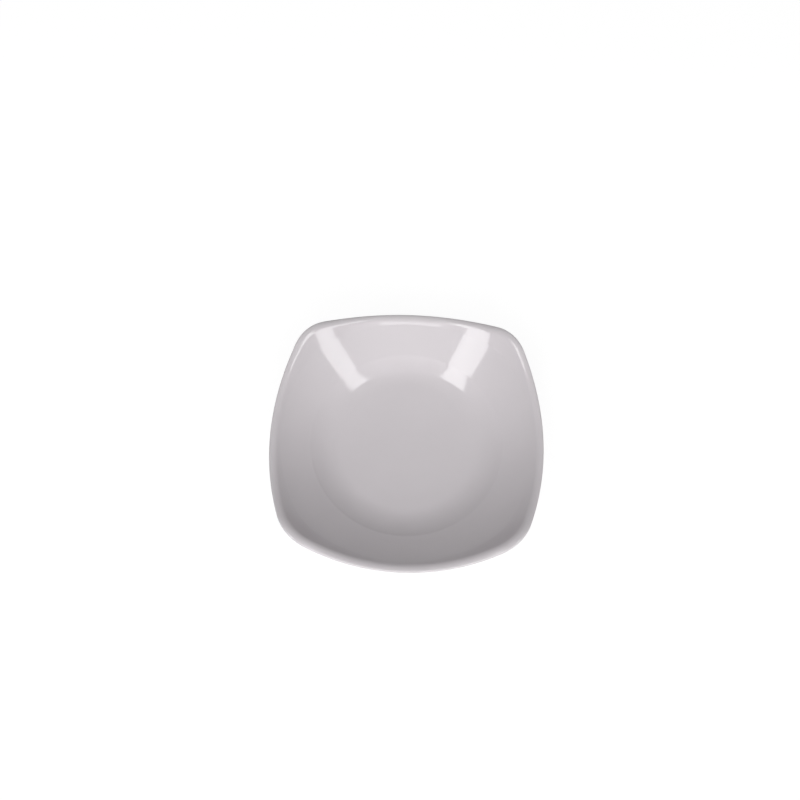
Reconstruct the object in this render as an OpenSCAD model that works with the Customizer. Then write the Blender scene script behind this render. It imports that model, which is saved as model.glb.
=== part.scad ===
// Soy sauce dish: a small pillow-square dish with bowed sides, raised corners and a round well.
// It is one fired body on a foot ring, under a glaze coat that leaves only the foot bare.
// Millimetres, +Z up, sides facing X and Y. The origin is the centre of the foot ring's flat face.

/* [Outline] */
// Width over the glaze, across the middles of two opposite sides
dish_w = 95; // [88:0.5:112]
// Radius of the bow of each side, seen from above
side_bow_r = 82.5; // [70:0.5:130]
// Radius of each corner, seen from above
corner_r = 18; // [12:0.5:24]

/* [Wall and lip] */
// Radius of the wall's curve, seen in section
wall_curve_r = 90; // [80:1:140]
// Slope of the wall where it leaves the well, in degrees
wall_start_slope = 29; // [25:0.5:33]
// Radius of the lip's broad top, seen in section
lip_top_r = 3.1; // [2.6:0.1:5]
// Radius of the lip's fine outer edge, over the glaze
lip_edge_r = 0.65; // [0.5:0.05:0.9]
// How steeply the lip's top falls outwards where the fine edge begins, in degrees
lip_fall = 6; // [0:1:20]
// Width of the steeper band inside the lip, at the middles of the sides
band_side_w = 0.8; // [0.4:0.1:1.2]
// Width of that band at the corners
band_corner_w = 3.8; // [1.5:0.1:4.5]
// How much steeper than the wall the band is at the middles of the sides, in degrees
band_side_turn = 4; // [0:0.5:6]
// How much steeper than the wall the band is at the corners, in degrees
band_corner_turn = 10; // [1:0.5:12]

/* [Well] */
// Radius of the well, up to the fine edge where its side meets the wall
well_r = 34.2; // [30:0.1:37]
// Slope of the well's side at that edge, a little steeper than the wall's, in degrees
well_top_slope = 37; // [34:0.5:42]
// Radius of the floor, where the well's side begins
floor_r = 24; // [20:0.5:28]
// Radius of the floor's slight hollow, seen in section
floor_curve_r = 280; // [200:10:500]
// Thickness of the floor at its centre, over both glazes
floor_t = 3.2; // [2.6:0.1:4.5]

/* [Foot ring] */
// Outer radius of the foot ring, over the glaze
foot_r = 30; // [26:0.5:33]
// Width of the foot ring, over both glazes
foot_w = 3.4; // [2.6:0.1:4.5]
// Height of the recess inside the foot ring
recess_h = 2.4; // [2:0.1:3.2]
// Height of the upright outer face of the foot ring
foot_side_h = 1.6; // [1.2:0.1:2]
// Radius of the hollow between the foot ring and the outside of the wall
heel_fillet_r = 1.2; // [0.8:0.1:2]
// Slope of the outside of the wall where it leaves the foot ring, in degrees
heel_slope = 24; // [16:0.5:30]
// Radius of the hollow between the foot ring and the recess
recess_fillet_r = 1.2; // [0.6:0.1:1.4]
// Radius of the two edges of the bare foot
foot_edge_r = 0.4; // [0.2:0.05:0.5]

/* [Glaze] */
// Thickness of the glaze
glaze_t = 0.3; // [0.2:0.05:0.4]
// Height of the bare band above the table, on both faces of the foot ring
bare_h = 0.8; // [0.6:0.1:1]

/* [Hidden] */

// Steps along one side, along one corner, and along each curved part of the section
side_steps = 10;
corner_steps = 5;
floor_steps = 3;
well_steps = 5;
wall_steps = 5;
lip_top_steps = 5;
lip_edge_steps = 4;
outside_steps = 6;
fillet_steps = 4;
edge_steps = 2;

// Plan: four side arcs, each tangent to the corner arcs at its ends
half_w = dish_w / 2;
side_centre = half_w - side_bow_r;
centre_gap = side_bow_r - corner_r;
corner_centre = (side_centre + sqrt(2 * pow(centre_gap, 2) - pow(side_centre, 2))) / 2;
corner_reach = norm([corner_centre, corner_centre]) + corner_r;
side_half_angle = atan2(corner_centre, corner_centre - side_centre);
corner_angle = 90 - 2 * side_half_angle;

// Section: the floor's hollow, and the arc of the well's side that runs on from it up to the edge
floor_z = recess_h + floor_t;
floor_end_slope = asin(floor_r / floor_curve_r);
floor_end_z = floor_z + floor_curve_r * (1 - cos(floor_end_slope));
well_curve_r = (well_r - floor_r) / (sin(well_top_slope) - sin(floor_end_slope));
well_centre_r = floor_r - well_curve_r * sin(floor_end_slope);
well_centre_z = floor_end_z + well_curve_r * cos(floor_end_slope);
well_top_z = well_centre_z - well_curve_r * cos(well_top_slope);

// Section: the centre that the wall curves about, and how far the lip's top has its centre inside the outline
wall_centre_r = well_r - wall_curve_r * sin(wall_start_slope);
wall_centre_z = well_top_z + wall_curve_r * cos(wall_start_slope);
lip_top_inset = lip_edge_r + (lip_top_r - lip_edge_r) * sin(lip_fall);

// Section: the foot ring
foot_inner_r = foot_r - foot_w;
clay_foot_r = foot_r - glaze_t;
clay_foot_inner_r = foot_inner_r + glaze_t;

// Points of the outline from above, anticlockwise from the start of the +X side
function turn(p, a) = [p.x * cos(a) - p.y * sin(a), p.x * sin(a) + p.y * cos(a)];
function side_point(a) = [side_centre + side_bow_r * cos(a), side_bow_r * sin(a)];
function corner_point(a) = [corner_centre + corner_r * cos(a), corner_centre + corner_r * sin(a)];
side_points = [for (i = [0 : side_steps - 1]) side_point(side_half_angle * (2 * i / side_steps - 1))];
corner_points = [for (i = [0 : corner_steps - 1])
    corner_point(side_half_angle + corner_angle * i / corner_steps)];
quarter = concat(side_points, corner_points);
outline = [for (k = [0 : 3]) for (p = quarter) turn(p, 90 * k)];

// Every station of the section is [radius, height, and the direction that faces away from the clay].
// Drawn in by an inset it gives a point of the glaze's face (none) or of the clay (the glaze's thickness).
function drawn_in(s, inset) = [s[0] - inset * s[2], s[1] - inset * s[3]];

// Inside of the dish, from the centre of the floor out to the edge of the well. The station of the edge
// faces halfway between the well's side and the wall.
function floor_stations() = [
    [0, floor_z, 0, 1],
    for (i = [1 : floor_steps]) let (a = floor_end_slope * i / floor_steps)
        [floor_curve_r * sin(a), floor_z + floor_curve_r * (1 - cos(a)), -sin(a), cos(a)],
    for (i = [1 : well_steps - 1])
        let (a = floor_end_slope + (well_top_slope - floor_end_slope) * i / well_steps)
        [well_centre_r + well_curve_r * sin(a), well_centre_z - well_curve_r * cos(a), -sin(a), cos(a)],
    let (a = (well_top_slope + wall_start_slope) / 2)
        [well_r, well_top_z, -sin(a), cos(a)]
];

// How far an outline that is reach away from the centre is towards a corner: 0 on a side, 1 at a corner
function corner_share(reach) = (reach - half_w) / (corner_reach - half_w);
function band_w(reach) = band_side_w + (band_corner_w - band_side_w) * corner_share(reach);

// Slopes of the wall where the band begins, and of the band, which ends in the lip
function wall_end_slope(reach) =
    asin((reach - band_w(reach) - lip_top_inset - wall_centre_r) / (wall_curve_r + lip_top_r));
function lip_slope(reach) =
    wall_end_slope(reach) + band_side_turn + (band_corner_turn - band_side_turn) * corner_share(reach);

// Centre of the lip's top, which is reached along the band from the end of the wall, and of its outer edge
function lip_top_centre(reach) =
    let (from = wall_end_slope(reach), to = lip_slope(reach))
    let (band_start = [wall_centre_r + wall_curve_r * sin(from), wall_centre_z - wall_curve_r * cos(from)])
    let (band_end_r = reach - lip_top_inset - lip_top_r * sin(to))
    [reach - lip_top_inset, band_start.y + (band_end_r - band_start.x) * tan(to) - lip_top_r * cos(to)];
function lip_edge_centre(reach) =
    [reach - lip_edge_r, lip_top_centre(reach).y + (lip_top_r - lip_edge_r) * cos(lip_fall)];

// Inside of the wall, an arc that gets steeper outwards and ends at the band
function wall_stations(reach) =
    let (from = wall_end_slope(reach), half_turn = (wall_end_slope(reach) + lip_slope(reach)) / 2) [
    for (i = [1 : wall_steps - 1])
        let (a = wall_start_slope + (from - wall_start_slope) * i / wall_steps)
        [wall_centre_r + wall_curve_r * sin(a), wall_centre_z - wall_curve_r * cos(a), -sin(a), cos(a)],
    [wall_centre_r + wall_curve_r * sin(from), wall_centre_z - wall_curve_r * cos(from),
     -sin(half_turn), cos(half_turn)]
];

// Lip: a broad round that levels out on top, then a fine round over to the outside of the wall
function lip_stations(reach) = [
    for (i = [0 : lip_top_steps])
        let (a = lip_slope(reach) + 90 - (lip_slope(reach) + lip_fall) * i / lip_top_steps)
        [lip_top_centre(reach).x + lip_top_r * cos(a), lip_top_centre(reach).y + lip_top_r * sin(a),
         cos(a), sin(a)],
    for (i = [1 : lip_edge_steps])
        let (a = 90 - lip_fall - (180 - lip_fall - lip_slope(reach)) * i / lip_edge_steps)
        [lip_edge_centre(reach).x + lip_edge_r * cos(a), lip_edge_centre(reach).y + lip_edge_r * sin(a),
         cos(a), sin(a)]
];

// Outside of the wall, a smooth curve from the lip down to the hollow above the foot ring
function bezier(p, t) =
    pow(1 - t, 3) * p[0] + 3 * t * pow(1 - t, 2) * p[1] + 3 * t * t * (1 - t) * p[2] + pow(t, 3) * p[3];
function bezier_run(p, t) =
    pow(1 - t, 2) * (p[1] - p[0]) + 2 * t * (1 - t) * (p[2] - p[1]) + t * t * (p[3] - p[2]);
function outside_stations(reach) =
    let (slope = lip_slope(reach))
    let (from = lip_edge_centre(reach) + lip_edge_r * [sin(slope), -cos(slope)])
    let (to = [foot_r + heel_fillet_r * (1 - sin(heel_slope)), foot_side_h + heel_fillet_r * cos(heel_slope)])
    let (handle = norm(to - from) / 3)
    let (p = [from, from - handle * [cos(slope), sin(slope)],
              to + handle * [cos(heel_slope), sin(heel_slope)], to])
    [for (i = [1 : outside_steps - 1])
        let (t = i / outside_steps)
        let (q = bezier(p, t))
        let (run = bezier_run(p, t) / norm(bezier_run(p, t)))
        [q.x, q.y, -run.y, run.x]];

// Hollow above the foot ring, and the upright outer face down to the edge of the glaze
function heel_stations() = [
    for (i = [fillet_steps : -1 : 0]) let (a = (90 - heel_slope) * i / fillet_steps)
        [foot_r + heel_fillet_r * (1 - cos(a)), foot_side_h + heel_fillet_r * sin(a), cos(a), -sin(a)],
    [foot_r, bare_h, 1, 0]
];

// Recess under the dish, from the edge of the glaze on the inner face of the foot ring to the centre
function recess_stations() = [
    [foot_inner_r, bare_h, -1, 0],
    for (i = [0 : fillet_steps]) let (a = 90 * i / fillet_steps)
        [foot_inner_r - recess_fillet_r * (1 - cos(a)), recess_h - recess_fillet_r * (1 - sin(a)),
         -cos(a), -sin(a)],
    [0, recess_h, 0, -1]
];

// Bare clay of the foot ring: a flat face with a small round at each edge
function bare_foot_path() = [
    for (i = [0 : edge_steps]) let (a = 90 * i / edge_steps)
        [clay_foot_r - foot_edge_r * (1 - cos(a)), foot_edge_r * (1 - sin(a))],
    for (i = [edge_steps : -1 : 0]) let (a = 90 * i / edge_steps)
        [clay_foot_inner_r + foot_edge_r * (1 - cos(a)), foot_edge_r * (1 - sin(a))]
];

// Section of the top coat's face below one point of the outline, from the floor's centre to the bare foot
function coat_stations(reach) = concat(floor_stations(), wall_stations(reach), lip_stations(reach),
                                       outside_stations(reach), heel_stations());

function path(stations, inset) = [for (s = stations) drawn_in(s, inset)];
function reversed(list) = [for (i = [len(list) - 1 : -1 : 0]) list[i]];

// A closed solid from one section for each point of the outline. Every section is a path of
// [radius, height] that starts and ends on the axis and has as many points as the others.
module swept(sections) {
    cols = len(sections);
    rings = len(sections[0]) - 2;
    first = sections[0][0];
    last = sections[0][rings + 1];
    points = concat(
        [[0, 0, first.y], [0, 0, last.y]],
        [for (c = [0 : cols - 1]) for (i = [1 : rings])
            [sections[c][i].x * outline[c].x / norm(outline[c]),
             sections[c][i].x * outline[c].y / norm(outline[c]),
             sections[c][i].y]]);
    function at(c, i) = 2 + (c % cols) * rings + i;
    start_fan = [for (c = [0 : cols - 1]) [0, at(c + 1, 0), at(c, 0)]];
    end_fan = [for (c = [0 : cols - 1]) [1, at(c, rings - 1), at(c + 1, rings - 1)]];
    inner_half = [for (c = [0 : cols - 1]) for (i = [0 : rings - 2])
        [at(c, i), at(c + 1, i), at(c + 1, i + 1)]];
    outer_half = [for (c = [0 : cols - 1]) for (i = [0 : rings - 2])
        [at(c, i), at(c + 1, i + 1), at(c, i + 1)]];
    polyhedron(points, concat(start_fan, inner_half, outer_half, end_fan), convexity = 6);
}

// Fired clay body: floor, wall, lip and foot ring in one piece, bare only on the foot
module dish_body() {
    color("linen")
        swept([for (p = outline)
            concat(path(coat_stations(norm(p)), glaze_t), bare_foot_path(), path(recess_stations(), glaze_t))]);
}

// Glaze over the inside, the lip and the outside, down to the bare band of the foot ring
module glaze() {
    color("white")
        swept([for (p = outline) let (stations = coat_stations(norm(p)))
            concat(path(stations, 0), reversed(path(stations, glaze_t)))]);
}

// Glaze in the recess under the dish, parted from the other glaze by the bare foot
module base_glaze() {
    color("whitesmoke")
        swept([for (p = outline)
            concat(reversed(path(recess_stations(), glaze_t)), path(recess_stations(), 0))]);
}

dish_body();
glaze();
base_glaze();
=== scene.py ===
"""Looks of the soy sauce dish: a pillow-square dish of glossy white glaze on a fired clay body.

The meshes follow the CAD model's sizes and rules with finer steps. Sizes of the dish are in millimetres,
and everything in Blender is in metres, +Z up, with the origin at the centre of the foot ring's flat face.
"""

import math

import bpy
import numpy as np
from mathutils import Matrix, Quaternion, Vector


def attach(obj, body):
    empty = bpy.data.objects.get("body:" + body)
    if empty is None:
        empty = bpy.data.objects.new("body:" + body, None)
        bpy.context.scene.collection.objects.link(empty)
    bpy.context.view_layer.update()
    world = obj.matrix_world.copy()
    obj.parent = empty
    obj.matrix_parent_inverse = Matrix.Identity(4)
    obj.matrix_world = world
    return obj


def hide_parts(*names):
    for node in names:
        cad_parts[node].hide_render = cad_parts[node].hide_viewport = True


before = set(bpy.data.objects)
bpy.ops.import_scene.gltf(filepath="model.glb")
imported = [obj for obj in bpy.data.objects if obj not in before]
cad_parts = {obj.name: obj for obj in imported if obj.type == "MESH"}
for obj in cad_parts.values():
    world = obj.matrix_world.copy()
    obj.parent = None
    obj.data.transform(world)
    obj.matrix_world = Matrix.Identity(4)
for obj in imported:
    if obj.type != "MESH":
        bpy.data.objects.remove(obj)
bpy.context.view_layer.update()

MM = 0.001

# Outline
DISH_W = 95.0
SIDE_BOW_R = 82.5
CORNER_R = 18.0

# Wall and lip
WALL_CURVE_R = 90.0
WALL_START_SLOPE = math.radians(29)
LIP_TOP_R = 3.1
LIP_EDGE_R = 0.65
LIP_EDGE_ANGLE = math.radians(84)

# Band inside the lip, narrow along the sides, wider and steeper towards the corners
BAND_SIDE_W = 0.8
BAND_CORNER_W = 3.8
BAND_SIDE_TURN = math.radians(4)
BAND_CORNER_TURN = math.radians(10)

# Well
WELL_R = 34.2
WELL_TOP_SLOPE = math.radians(37)
FLOOR_R = 24.0
FLOOR_CURVE_R = 280.0
FLOOR_T = 3.2

# Turning ripples on the floor of the well
RIPPLE_SPACING = 7.5
RIPPLE_H = 0.02
RIPPLE_FADE = 3.0

# Foot ring
FOOT_R = 30.0
FOOT_W = 3.4
RECESS_H = 2.4
FOOT_SIDE_H = 1.6
HEEL_FILLET_R = 1.2
HEEL_SLOPE = math.radians(24)
RECESS_FILLET_R = 1.2
FOOT_EDGE_R = 0.4

# Glaze
GLAZE_T = 0.3
BARE_H = 0.8

# Steps of the meshes: the glaze's face is fine, and what it hides is plainer
FINE = {"floor": 60, "well": 36, "wall": 32, "lip": 20, "outside": 36, "heel": 10}
PLAIN = {"floor": 6, "well": 12, "wall": 10, "lip": 7, "outside": 12, "heel": 5}
SIDE_STEPS = 56
CORNER_STEPS = 28

# Values worked out from the sizes
HALF_W = DISH_W / 2
SIDE_CENTRE = HALF_W - SIDE_BOW_R
CENTRE_GAP = SIDE_BOW_R - CORNER_R
CORNER_CENTRE = (SIDE_CENTRE + math.sqrt(2 * CENTRE_GAP**2 - SIDE_CENTRE**2)) / 2
SIDE_HALF_ANGLE = math.atan2(CORNER_CENTRE, CORNER_CENTRE - SIDE_CENTRE)
FLOOR_Z = RECESS_H + FLOOR_T
FLOOR_END_SLOPE = math.asin(FLOOR_R / FLOOR_CURVE_R)
WELL_CURVE_R = (WELL_R - FLOOR_R) / (math.sin(WELL_TOP_SLOPE) - math.sin(FLOOR_END_SLOPE))
FLOOR_END_Z = FLOOR_Z + FLOOR_CURVE_R * (1 - math.cos(FLOOR_END_SLOPE))
WELL_TOP_Z = FLOOR_END_Z + WELL_CURVE_R * (math.cos(FLOOR_END_SLOPE) - math.cos(WELL_TOP_SLOPE))
WALL_CENTRE = (WELL_R - WALL_CURVE_R * math.sin(WALL_START_SLOPE),
               WELL_TOP_Z + WALL_CURVE_R * math.cos(WALL_START_SLOPE))
LIP_TOP_INSET = LIP_EDGE_R + (LIP_TOP_R - LIP_EDGE_R) * math.cos(LIP_EDGE_ANGLE)
CORNER_REACH = math.sqrt(2) * CORNER_CENTRE + CORNER_R
FOOT_INNER_R = FOOT_R - FOOT_W


def outline_points():
    """Points of the outline seen from above, anticlockwise, as an array of x and y."""
    side = [SIDE_HALF_ANGLE * (2 * i / SIDE_STEPS - 1) for i in range(SIDE_STEPS)]
    corner_angle = math.pi / 2 - 2 * SIDE_HALF_ANGLE
    corner = [SIDE_HALF_ANGLE + corner_angle * i / CORNER_STEPS for i in range(CORNER_STEPS)]
    quarter = [(SIDE_CENTRE + SIDE_BOW_R * math.cos(a), SIDE_BOW_R * math.sin(a)) for a in side]
    quarter += [(CORNER_CENTRE + CORNER_R * math.cos(a), CORNER_CENTRE + CORNER_R * math.sin(a))
                for a in corner]
    turns = [np.array(quarter) @ np.array([[math.cos(t), math.sin(t)], [-math.sin(t), math.cos(t)]])
             for t in (0, math.pi / 2, math.pi, 3 * math.pi / 2)]
    return np.concatenate(turns)


OUTLINE = outline_points()
REACH = np.hypot(OUTLINE[:, 0], OUTLINE[:, 1])[:, None]
COLUMNS = len(OUTLINE)


def stations(r, z, out_r, out_z):
    """Stations of the section, one row for each column of the outline. Each station is a radius, a height
    and the direction away from the clay."""
    return np.stack(np.broadcast_arrays(np.zeros((COLUMNS, 1)) + r, z, out_r, out_z), axis=-1)


def arc(centre, radius, angles, away):
    """Stations along an arc. away is 1 where the clay is round and -1 where it is hollow."""
    cos, sin = np.cos(angles), np.sin(angles)
    return stations(centre[0] + radius * cos, centre[1] + radius * sin, away * cos, away * sin)


def spread(start, end, steps, first=0):
    """A row of steps + 1 even values from start to end, without those before number first."""
    share = np.arange(first, steps + 1) / steps
    return start + (end - start) * share[None, :]


def floor_stations(steps):
    """Slightly dished floor of the well with its faint turning ripples, and the well's side up to its
    fine edge."""
    floor = arc((0, FLOOR_Z + FLOOR_CURVE_R), FLOOR_CURVE_R,
                spread(0.0, FLOOR_END_SLOPE, steps["floor"]) - math.pi / 2, -1)
    r = floor[..., 0]
    fade = np.clip((FLOOR_R - r) / RIPPLE_FADE, 0, 1)
    floor[..., 1] += RIPPLE_H / 2 * np.cos(2 * math.pi * r / RIPPLE_SPACING) * fade
    centre = (FLOOR_R - WELL_CURVE_R * math.sin(FLOOR_END_SLOPE),
              FLOOR_END_Z + WELL_CURVE_R * math.cos(FLOOR_END_SLOPE))
    side = arc(centre, WELL_CURVE_R,
               spread(FLOOR_END_SLOPE, WELL_TOP_SLOPE, steps["well"], 1) - math.pi / 2, -1)
    slope = (WELL_TOP_SLOPE + WALL_START_SLOPE) / 2
    edge = stations(WELL_R, WELL_TOP_Z, -math.sin(slope), math.cos(slope))
    return np.concatenate([floor, side[:, :-1], edge], axis=1)


# Ends of the wall, the band and the lip's rounds, one row for each column: they vary with its reach
CORNER_SHARE = (REACH - HALF_W) / (CORNER_REACH - HALF_W)
BAND_W = BAND_SIDE_W + (BAND_CORNER_W - BAND_SIDE_W) * CORNER_SHARE
WALL_END_SLOPE = np.arcsin((REACH - BAND_W - LIP_TOP_INSET - WALL_CENTRE[0]) / (WALL_CURVE_R + LIP_TOP_R))
WALL_END = (WALL_CENTRE[0] + WALL_CURVE_R * np.sin(WALL_END_SLOPE),
            WALL_CENTRE[1] - WALL_CURVE_R * np.cos(WALL_END_SLOPE))
LIP_SLOPE = WALL_END_SLOPE + BAND_SIDE_TURN + (BAND_CORNER_TURN - BAND_SIDE_TURN) * CORNER_SHARE
LIP_START_R = REACH - LIP_TOP_INSET - LIP_TOP_R * np.sin(LIP_SLOPE)
LIP_START_Z = WALL_END[1] + (LIP_START_R - WALL_END[0]) * np.tan(LIP_SLOPE)
LIP_TOP_CENTRE = (REACH - LIP_TOP_INSET, LIP_START_Z - LIP_TOP_R * np.cos(LIP_SLOPE))
LIP_EDGE_CENTRE = (REACH - LIP_EDGE_R,
                   LIP_TOP_CENTRE[1] + (LIP_TOP_R - LIP_EDGE_R) * math.sin(LIP_EDGE_ANGLE))


def wall_stations(steps):
    """Inside of the wall, an arc that gets steeper outwards and ends at the band inside the lip."""
    share = np.arange(1, steps["wall"]) / steps["wall"]
    slope = WALL_START_SLOPE + (WALL_END_SLOPE - WALL_START_SLOPE) * share[None, :]
    half_turn = (WALL_END_SLOPE + LIP_SLOPE) / 2
    crease = stations(WALL_END[0], WALL_END[1], -np.sin(half_turn), np.cos(half_turn))
    return np.concatenate([arc(WALL_CENTRE, WALL_CURVE_R, slope - math.pi / 2, -1), crease], axis=1)


def lip_stations(steps):
    """Lip: a broad round that levels out on top, and a fine round at its outer edge."""
    share = np.arange(steps["lip"] + 1)[None, :] / steps["lip"]
    top_start, edge_end = LIP_SLOPE + math.pi / 2, LIP_SLOPE - math.pi / 2
    top = arc(LIP_TOP_CENTRE, LIP_TOP_R, top_start + (LIP_EDGE_ANGLE - top_start) * share, 1)
    edge = arc(LIP_EDGE_CENTRE, LIP_EDGE_R, LIP_EDGE_ANGLE + (edge_end - LIP_EDGE_ANGLE) * share[:, 1:], 1)
    return np.concatenate([top, edge], axis=1)


def outside_stations(steps):
    """Outside of the wall, a Bezier curve from the lip down to the hollow above the foot ring."""
    lip_run = np.stack([np.cos(LIP_SLOPE), np.sin(LIP_SLOPE)], axis=-1)
    start = np.stack([LIP_EDGE_CENTRE[0] + LIP_EDGE_R * np.sin(LIP_SLOPE),
                      LIP_EDGE_CENTRE[1] - LIP_EDGE_R * np.cos(LIP_SLOPE)], axis=-1)
    end = np.array([FOOT_R + HEEL_FILLET_R * (1 - math.sin(HEEL_SLOPE)),
                    FOOT_SIDE_H + HEEL_FILLET_R * math.cos(HEEL_SLOPE)])
    handle = np.linalg.norm(end - start, axis=-1, keepdims=True) / 3
    heel_run = np.array([math.cos(HEEL_SLOPE), math.sin(HEEL_SLOPE)])
    p = [start, start - handle * lip_run, end + handle * heel_run, end + 0 * start]
    t = (np.arange(1, steps["outside"]) / steps["outside"])[None, :, None]
    point = (1 - t)**3 * p[0] + 3 * t * (1 - t)**2 * p[1] + 3 * t * t * (1 - t) * p[2] + t**3 * p[3]
    run = (1 - t)**2 * (p[1] - p[0]) + 2 * t * (1 - t) * (p[2] - p[1]) + t * t * (p[3] - p[2])
    run /= np.linalg.norm(run, axis=-1, keepdims=True)
    return np.stack([point[..., 0], point[..., 1], -run[..., 1], run[..., 0]], axis=-1)


def heel_stations(steps):
    """Hollow above the foot ring, and the upright outer face down to the edge of the glaze."""
    hollow = arc((FOOT_R + HEEL_FILLET_R, FOOT_SIDE_H), HEEL_FILLET_R,
                 spread(math.pi / 2 + HEEL_SLOPE, math.pi, steps["heel"]), -1)
    return np.concatenate([hollow, stations(FOOT_R, BARE_H, 1.0, 0.0)], axis=1)


def recess_stations(steps):
    """Recess under the dish, from the edge of the glaze on the foot ring's inner face to the centre."""
    edge = stations(FOOT_INNER_R, BARE_H, -1.0, 0.0)
    hollow = arc((FOOT_INNER_R - RECESS_FILLET_R, RECESS_H - RECESS_FILLET_R), RECESS_FILLET_R,
                 spread(0.0, math.pi / 2, steps["heel"]), -1)
    level = stations(spread(FOOT_INNER_R - RECESS_FILLET_R, 0.0, steps["floor"], 1), RECESS_H, 0.0, -1.0)
    return np.concatenate([edge, hollow, level], axis=1)


def bare_foot_stations(steps):
    """Bare clay of the foot ring: a flat face with a small round at each edge."""
    outer = arc((FOOT_R - GLAZE_T - FOOT_EDGE_R, FOOT_EDGE_R), FOOT_EDGE_R,
                spread(0.0, -math.pi / 2, steps["heel"]), 1)
    inner = arc((FOOT_INNER_R + GLAZE_T + FOOT_EDGE_R, FOOT_EDGE_R), FOOT_EDGE_R,
                spread(-math.pi / 2, -math.pi, steps["heel"]), 1)
    return np.concatenate([outer, inner], axis=1)


def coat_stations(steps):
    """The top coat's face, from the centre of the floor over the lip to the edge of the glaze."""
    return np.concatenate([floor_stations(steps), wall_stations(steps), lip_stations(steps),
                           outside_stations(steps), heel_stations(steps)], axis=1)


def drawn_in(run, inset):
    """Radius and height of each station, moved into the clay by inset."""
    return run[..., :2] - inset * run[..., 2:]


def swept(name, section):
    """A closed mesh from one section for each column. The section starts and ends on the axis."""
    rings = section.shape[1] - 2
    ring = section[:, 1:-1]
    direction = OUTLINE / REACH
    points = np.concatenate([direction[:, None, :] * ring[..., :1], ring[..., 1:]], axis=-1).reshape(-1, 3)
    ends = np.array([[0, 0, section[0, 0, 1]], [0, 0, section[0, -1, 1]]])
    vertices = np.concatenate([ends, points]) * MM
    here = 2 + rings * np.arange(COLUMNS)[:, None] + np.arange(rings)[None, :]
    beside = np.roll(here, -1, axis=0)
    quads = np.stack([here[:, :-1], here[:, 1:], beside[:, 1:], beside[:, :-1]], axis=-1).reshape(-1, 4)
    first = np.stack([np.zeros(COLUMNS, int), here[:, 0], beside[:, 0]], axis=-1)
    last = np.stack([np.ones(COLUMNS, int), beside[:, -1], here[:, -1]], axis=-1)
    mesh = bpy.data.meshes.new(name)
    mesh.from_pydata(vertices.tolist(), [], quads.tolist() + first.tolist() + last.tolist())
    mesh.validate()
    mesh.shade_smooth()
    piece = bpy.data.objects.new(name, mesh)
    bpy.context.scene.collection.objects.link(piece)
    return piece


def material(name, roughness, **settings):
    """A new material with a Principled shader, and three functions that add a node to it: noise in the
    piece's own coordinates, a ramp of colours, and bumps of a height in metres."""
    mat = bpy.data.materials.new(name)
    mat.use_nodes = True
    tree = mat.node_tree
    shader = tree.nodes["Principled BSDF"]
    shader.inputs["Roughness"].default_value = roughness
    for key, value in settings.items():
        shader.inputs[key.replace("_", " ")].default_value = value
    coordinates = tree.nodes.new("ShaderNodeTexCoord")

    def noise(scale, detail):
        node = tree.nodes.new("ShaderNodeTexNoise")
        node.inputs["Scale"].default_value = scale
        node.inputs["Detail"].default_value = detail
        tree.links.new(coordinates.outputs["Object"], node.inputs["Vector"])
        return node.outputs["Fac"]

    def colours(source, stops):
        node = tree.nodes.new("ShaderNodeValToRGB")
        ramp = node.color_ramp
        while len(ramp.elements) < len(stops):
            ramp.elements.new(0.5)
        for element, (position, colour) in zip(ramp.elements, stops):
            element.position = position
            element.color = (*colour, 1)
        tree.links.new(source, node.inputs["Fac"])
        tree.links.new(node.outputs["Color"], shader.inputs["Base Color"])

    def bump(source, strength, distance):
        node = tree.nodes.new("ShaderNodeBump")
        node.inputs["Strength"].default_value = strength
        node.inputs["Distance"].default_value = distance
        tree.links.new(source, node.inputs["Height"])
        tree.links.new(node.outputs["Normal"], shader.inputs["Normal"])

    return mat, noise, colours, bump


def glaze_material():
    """Glossy white glaze with a faint lilac cast and a barely uneven face."""
    mat, noise, colours, bump = material("white_glaze", roughness=0.07, IOR=1.5)
    colours(noise(scale=45, detail=3), [(0.35, (0.758, 0.716, 0.742)), (0.65, (0.774, 0.732, 0.758))])
    bump(noise(scale=60, detail=2), strength=0.05, distance=0.0004)
    return mat


def clay_material():
    """Bare fired clay: matt, a little warmer than the glaze, with a fine grain."""
    mat, noise, colours, bump = material("fired_clay", roughness=0.85)
    colours(noise(scale=1400, detail=4),
            [(0.3, (0.56, 0.51, 0.45)), (0.55, (0.68, 0.64, 0.58)), (0.8, (0.74, 0.70, 0.65))])
    bump(noise(scale=2600, detail=3), strength=0.35, distance=0.00008)
    return mat


def finish_piece(piece, mat, node):
    """Gives a piece its material, parents it to the root body, and hides the CAD node that it stands for.
    """
    piece.data.materials.append(mat)
    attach(piece, "root")
    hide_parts(node)


white_glaze = glaze_material()
fired_clay = clay_material()

# Clay body, bare only on the foot
body_section = np.concatenate([drawn_in(coat_stations(PLAIN), GLAZE_T),
                               drawn_in(bare_foot_stations(PLAIN), 0),
                               drawn_in(recess_stations(PLAIN), GLAZE_T)], axis=1)
finish_piece(swept("clay_body", body_section), fired_clay, "dish_body")

# Top coat, with its hidden face against the clay
coat_section = np.concatenate([drawn_in(coat_stations(FINE), 0),
                               drawn_in(coat_stations(PLAIN), GLAZE_T)[:, ::-1]], axis=1)
finish_piece(swept("top_glaze", coat_section), white_glaze, "glaze")

# Coat in the recess under the dish
recess_section = np.concatenate([drawn_in(recess_stations(PLAIN), GLAZE_T)[:, ::-1],
                                 drawn_in(recess_stations(PLAIN), 0)], axis=1)
finish_piece(swept("recess_glaze", recess_section), white_glaze, "base_glaze")

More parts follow.
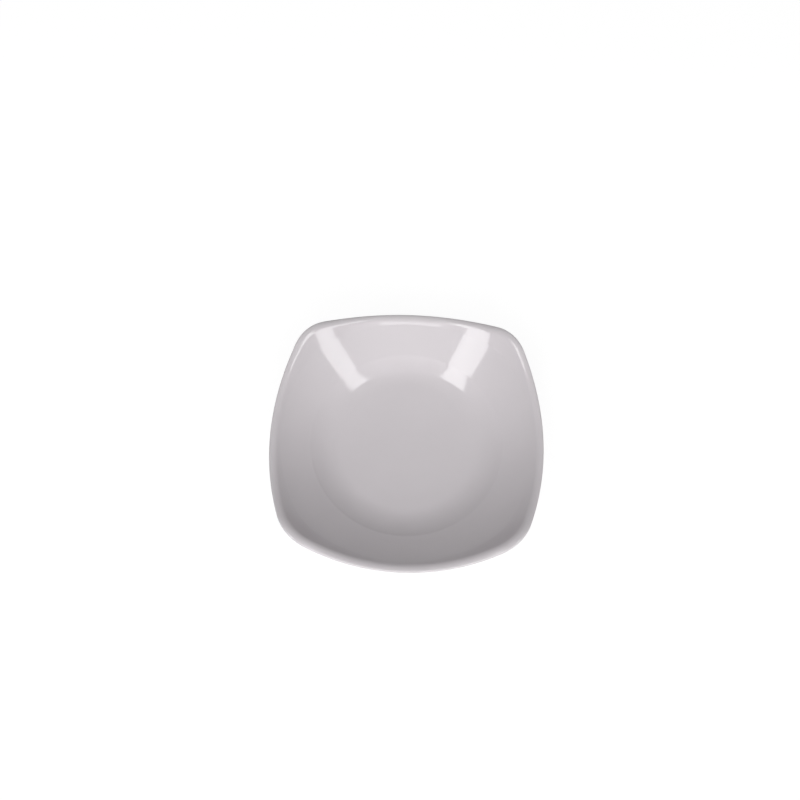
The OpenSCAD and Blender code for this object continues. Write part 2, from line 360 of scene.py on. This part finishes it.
# Camera: the photograph's view, fitted to the dish's outline. Its distance, side and rise are in half
# widths of the dish, and are taken from the middle of the dish at the height of the lip at the sides.
CAMERA_ELEVATION = math.radians(66.7)
CAMERA_TURN = math.radians(2.05)
CAMERA_DISTANCE = 5.0
CAMERA_SIDE = -0.0486
CAMERA_RISE = 0.2486
FOCAL_PIXELS = 682.1
PICTURE_PIXELS = 800
SENSOR_W = 36.0
CLIP_START = 0.01
LIP_LEVEL = LIP_EDGE_CENTRE[1].min()


def make_camera():
    """The camera in front of the dish, turned about the dish's upright axis."""
    right = Vector((1, 0, 0))
    up = Vector((0, math.sin(CAMERA_ELEVATION), math.cos(CAMERA_ELEVATION)))
    forward = Vector((0, math.cos(CAMERA_ELEVATION), -math.sin(CAMERA_ELEVATION)))
    place = HALF_W * (CAMERA_SIDE * right + CAMERA_RISE * up - CAMERA_DISTANCE * forward)
    turn = Matrix.Rotation(CAMERA_TURN, 4, "Z")
    axes = Matrix((right, up, -forward)).transposed().to_4x4()
    data = bpy.data.cameras.new("camera")
    data.sensor_width = SENSOR_W
    data.lens = SENSOR_W * FOCAL_PIXELS / PICTURE_PIXELS
    data.clip_start = CLIP_START
    camera = bpy.data.objects.new("camera", data)
    bpy.context.scene.collection.objects.link(camera)
    camera.matrix_world = (Matrix.Translation((0, 0, LIP_LEVEL * MM)) @ turn
                           @ Matrix.Translation(place * MM) @ axes)
    bpy.context.scene.camera = camera


make_camera()

# Lamps: distances from the dish, in metres
SOFTBOX_DISTANCE = 1.2
FILL_DISTANCE = 1.6


def lamp(name, azimuth, elevation, distance, size, strength, roll=0.0):
    """A flat soft light that faces the dish. Angles are in degrees: azimuth from the far side towards the
    right, elevation above the table, and roll about the line to the dish. Size is a width and a height.
    Strength is the radiance, in units of white."""
    data = bpy.data.lights.new(name, "AREA")
    data.shape = "RECTANGLE"
    data.size, data.size_y = size
    data.energy = strength * math.pi * data.size * data.size_y
    angle, rise = math.radians(azimuth), math.radians(elevation)
    place = distance * Vector((math.sin(angle) * math.cos(rise), math.cos(angle) * math.cos(rise),
                               math.sin(rise)))
    light = bpy.data.objects.new(name, data)
    light.location = place
    turn = place.to_track_quat("Z", "Y") @ Quaternion((0, 0, 1), math.radians(roll))
    light.rotation_euler = turn.to_euler()
    bpy.context.scene.collection.objects.link(light)


# Two long softboxes in front, left and right of the camera, which the far wall mirrors
lamp("softbox_left", -130, 50, SOFTBOX_DISTANCE, (0.28, 0.96), 5.5, roll=14.5)
lamp("softbox_right", 121, 46, SOFTBOX_DISTANCE, (0.20, 1.2), 4.8, roll=-12)

# Fills
lamp("fill_front_broad", 180, 50, FILL_DISTANCE, (2.0, 2.0), 0.4)
lamp("fill_front_low", 180, 29, FILL_DISTANCE, (0.9, 0.9), 3.1)
lamp("fill_far", 0, 70, FILL_DISTANCE, (0.8, 0.8), 0.1)

# World: weak even light, with white where the camera or a gloss sees past the floor
WORLD_LIGHT = 0.01


def ray_is_seen(tree):
    """1 for rays from the camera, off a gloss or through a clear piece, else 0."""
    rays = tree.nodes.new("ShaderNodeLightPath")
    total = tree.nodes.new("ShaderNodeMath")
    total.operation = "MAXIMUM"
    tree.links.new(rays.outputs["Is Camera Ray"], total.inputs[0])
    tree.links.new(rays.outputs["Is Glossy Ray"], total.inputs[1])
    last = tree.nodes.new("ShaderNodeMath")
    last.operation = "MAXIMUM"
    tree.links.new(total.outputs["Value"], last.inputs[0])
    tree.links.new(rays.outputs["Is Transmission Ray"], last.inputs[1])
    return last.outputs["Value"]


def make_world():
    """Even light of WORLD_LIGHT, and white for rays that are seen."""
    world = bpy.data.worlds.new("studio")
    world.use_nodes = True
    tree = world.node_tree
    even = tree.nodes["Background"]
    even.inputs["Strength"].default_value = WORLD_LIGHT
    even.inputs["Color"].default_value = (1, 1, 1, 1)
    white = tree.nodes.new("ShaderNodeBackground")
    white.inputs["Color"].default_value = (1, 1, 1, 1)
    mix = tree.nodes.new("ShaderNodeMixShader")
    tree.links.new(ray_is_seen(tree), mix.inputs["Fac"])
    tree.links.new(even.outputs["Background"], mix.inputs[1])
    tree.links.new(white.outputs["Background"], mix.inputs[2])
    tree.links.new(mix.outputs["Shader"], tree.nodes["World Output"].inputs["Surface"])
    bpy.context.scene.world = world


make_world()

# Floor, a square in metres: pale, and lifted to white where it is seen, with the dish's shadow kept
FLOOR_SIZE = 3.0
FLOOR_COLOUR = 0.8
SEEN_COLOUR = 0.2
SEEN_LIFT = 0.9


def make_floor():
    """The table, whose own colour lights the dish and whose lifted colour is seen."""
    half = FLOOR_SIZE / 2
    corners = [(-half, -half, 0), (half, -half, 0), (half, half, 0), (-half, half, 0)]
    mesh = bpy.data.meshes.new("floor")
    mesh.from_pydata(corners, [], [(0, 1, 2, 3)])
    floor = bpy.data.objects.new("floor", mesh)
    bpy.context.scene.collection.objects.link(floor)
    mat = bpy.data.materials.new("floor")
    mat.use_nodes = True
    tree = mat.node_tree
    tree.nodes.remove(tree.nodes["Principled BSDF"])
    plain = tree.nodes.new("ShaderNodeBsdfDiffuse")
    plain.inputs["Color"].default_value = (FLOOR_COLOUR, FLOOR_COLOUR, FLOOR_COLOUR, 1)
    seen = tree.nodes.new("ShaderNodeBsdfDiffuse")
    seen.inputs["Color"].default_value = (SEEN_COLOUR, SEEN_COLOUR, SEEN_COLOUR, 1)
    lift = tree.nodes.new("ShaderNodeEmission")
    lift.inputs["Strength"].default_value = SEEN_LIFT
    both = tree.nodes.new("ShaderNodeAddShader")
    mix = tree.nodes.new("ShaderNodeMixShader")
    tree.links.new(seen.outputs["BSDF"], both.inputs[0])
    tree.links.new(lift.outputs["Emission"], both.inputs[1])
    tree.links.new(ray_is_seen(tree), mix.inputs["Fac"])
    tree.links.new(plain.outputs["BSDF"], mix.inputs[1])
    tree.links.new(both.outputs["Shader"], mix.inputs[2])
    tree.links.new(mix.outputs["Shader"], tree.nodes["Material Output"].inputs["Surface"])
    mesh.materials.append(mat)


make_floor()

bpy.context.scene.view_settings.view_transform = "Standard"
